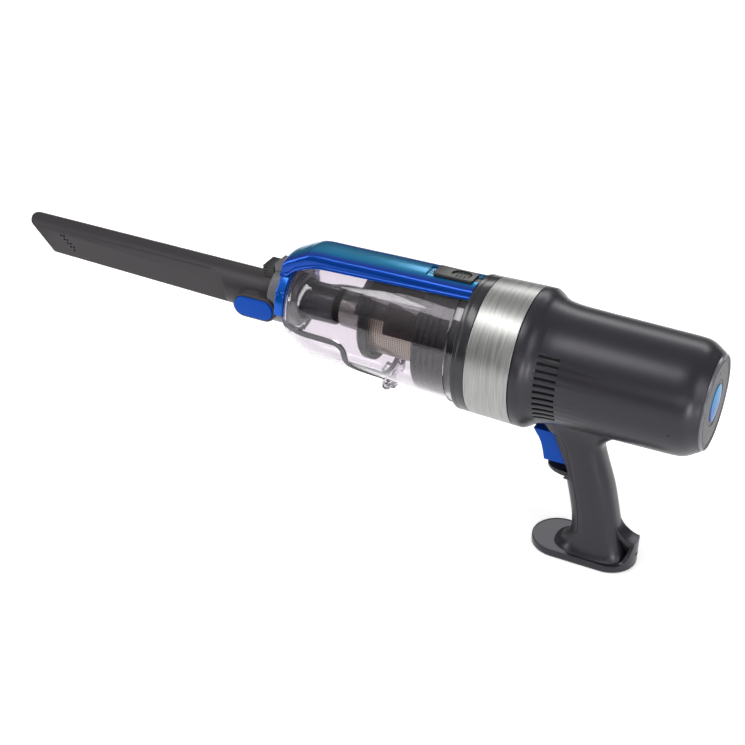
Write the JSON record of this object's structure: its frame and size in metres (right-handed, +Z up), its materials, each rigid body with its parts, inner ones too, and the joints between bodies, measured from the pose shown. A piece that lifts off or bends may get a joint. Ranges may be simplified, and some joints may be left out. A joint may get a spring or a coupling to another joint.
{
  "type": "handheld vacuum cleaner",
  "caption": "Cordless handheld vacuum: clear dust bin with a drop-open door, mesh cyclone shroud, motor barrel, pistol grip with trigger and foot, and a slim crevice tool.",
  "frame": {"origin": "centre of the foot's underside, where the foot meets a floor or a dock", "axes": "+X to the rear along the barrel, from the crevice tool to the rear cap; +Y to the right of a person who holds the grip and looks ahead; +Z up from the foot to the barrel"},
  "size_m": [0.593, 0.1064, 0.2133],
  "materials": {
    "tool_plastic": "satin moulded plastic, fine texture",
    "blue_plastic": "smooth blue plastic",
    "blue_metallic": "glossy blue metallic lacquer",
    "black_plastic": "black moulded plastic",
    "grey_plastic": "grey moulded plastic",
    "dark_plastic": "dark grey moulded plastic",
    "clear_plastic": "clear, lightly tinted plastic",
    "smoky_plastic": "smoky see-through plastic",
    "seal_rubber": "soft grey seal",
    "gunmetal_shell": "satin metallic paint, dark gunmetal",
    "brushed_band": "brushed around the barrel",
    "steel": "plain bright steel",
    "copper_winding": "copper colour",
    "circuit_board": "green circuit board",
    "filter_paper": "pleated off-white filter paper",
    "cell_sleeve": "blue-green sleeve on a metal can"
  },
  "bodies": {
    "main": {"front_collar": "dark_plastic", "bin_gasket": "seal_rubber", "filter_frame": "grey_plastic", "filter_element": "filter_paper", "silver_band": "brushed_band", "body_shell": "gunmetal_shell", "motor_mount": "seal_rubber", "fan_housing": "black_plastic", "motor_can": "steel", "motor_stator": "copper_winding", "control_board": "circuit_board", "battery_cell_1": "cell_sleeve", "battery_cell_2": "cell_sleeve", "battery_cell_3": "cell_sleeve", "battery_cell_4": "cell_sleeve", "battery_cell_5": "cell_sleeve", "battery_cell_6": "cell_sleeve", "battery_cell_7": "cell_sleeve", "cell_holder_front": "black_plastic", "cell_holder_rear": "black_plastic", "battery_board": "circuit_board", "cap_ring": "grey_plastic", "rear_cap": "gunmetal_shell", "mode_switch": "black_plastic", "grip_shell": "gunmetal_shell", "grip_front_panel": "gunmetal_shell", "trigger_pin": "steel", "trigger_spring": "steel", "trigger_switch": "black_plastic", "foot_plate": "dark_plastic", "dock_contact": "copper_winding"},
    "rotor": {"impeller": "grey_plastic", "motor_rotor": "steel", "motor_shaft": "steel"},
    "mode_button": {"mode_button": "blue_plastic"},
    "trigger": {"trigger": "blue_plastic"},
    "bin": {"inlet_collar": "grey_plastic", "inlet_contact_block": "grey_plastic", "front_bracket": "blue_metallic", "spine_cover": "blue_metallic", "contact_ribbon": "copper_winding", "latch_spring": "steel", "bin_shell": "clear_plastic", "door_hinge_pin": "steel", "inlet_tube": "dark_plastic", "cyclone_cone": "grey_plastic", "shroud_front_ring": "black_plastic", "mesh_screen": "steel", "shroud_cover": "smoky_plastic", "shroud_rear_ring": "black_plastic"},
    "latch": {"bin_latch": "black_plastic"},
    "door": {"dust_door": "clear_plastic", "door_seal": "seal_rubber"},
    "lever": {"door_release_lever": "blue_metallic"},
    "tool": {"crevice_tool_body": "tool_plastic", "tool_button_pin": "steel", "tool_contact_plug": "black_plastic"},
    "tool_button": {"tool_release_button": "blue_plastic"}
  },
  "joints": [
    {"name": "bin_slide", "type": "slide", "parent": "main", "child": "bin", "axis": [-1, 0, 0], "range_m": [0, 0.06]},
    {"name": "latch_slide", "type": "slide", "parent": "bin", "child": "latch", "axis": [-1, 0, 0], "range_m": [0, 0.005], "stiffness_N_per_m": 600, "springref_m": -0.002, "deforming": ["latch_spring"]},
    {"name": "door_hinge", "type": "hinge", "parent": "bin", "child": "door", "pos_m": [-0.16775, 0, 0.1095], "axis": [0, -1, 0], "range_deg": [0, 95]},
    {"name": "lever_hinge", "type": "hinge", "parent": "bin", "child": "lever", "pos_m": [-0.2544, -0.02463, 0.1731], "axis": [-1, 0, 0], "range_deg": [0, 15], "stiffness_Nm_per_rad": 0.3, "springref_deg": -2.86},
    {"name": "tool_slide", "type": "slide", "parent": "bin", "child": "tool", "axis": [-1, 0, 0], "range_m": [0, 0.04]},
    {"name": "tool_button_hinge", "type": "hinge", "parent": "tool", "child": "tool_button", "pos_m": [-0.27775, -0.0231, 0.155], "axis": [0, 0, -1], "range_deg": [0, 3.5], "stiffness_Nm_per_rad": 0.6, "springref_deg": -2.86},
    {"name": "trigger_hinge", "type": "hinge", "parent": "main", "child": "trigger", "pos_m": [-0.02345, 0, 0.1015], "axis": [0, -1, 0], "range_deg": [0, 8], "stiffness_Nm_per_rad": 0.6, "springref_deg": -3.44, "deforming": ["trigger_spring"]},
    {"name": "mode_button_slide", "type": "slide", "parent": "main", "child": "mode_button", "axis": [-1, 0, 0], "range_m": [0, 0.0012], "stiffness_N_per_m": 1200, "springref_m": -0.0006},
    {"name": "motor_spin", "type": "hinge", "parent": "main", "child": "rotor", "pos_m": [-0.02875, 0, 0.16], "axis": [1, 0, 0], "continuous": true}
  ]
}
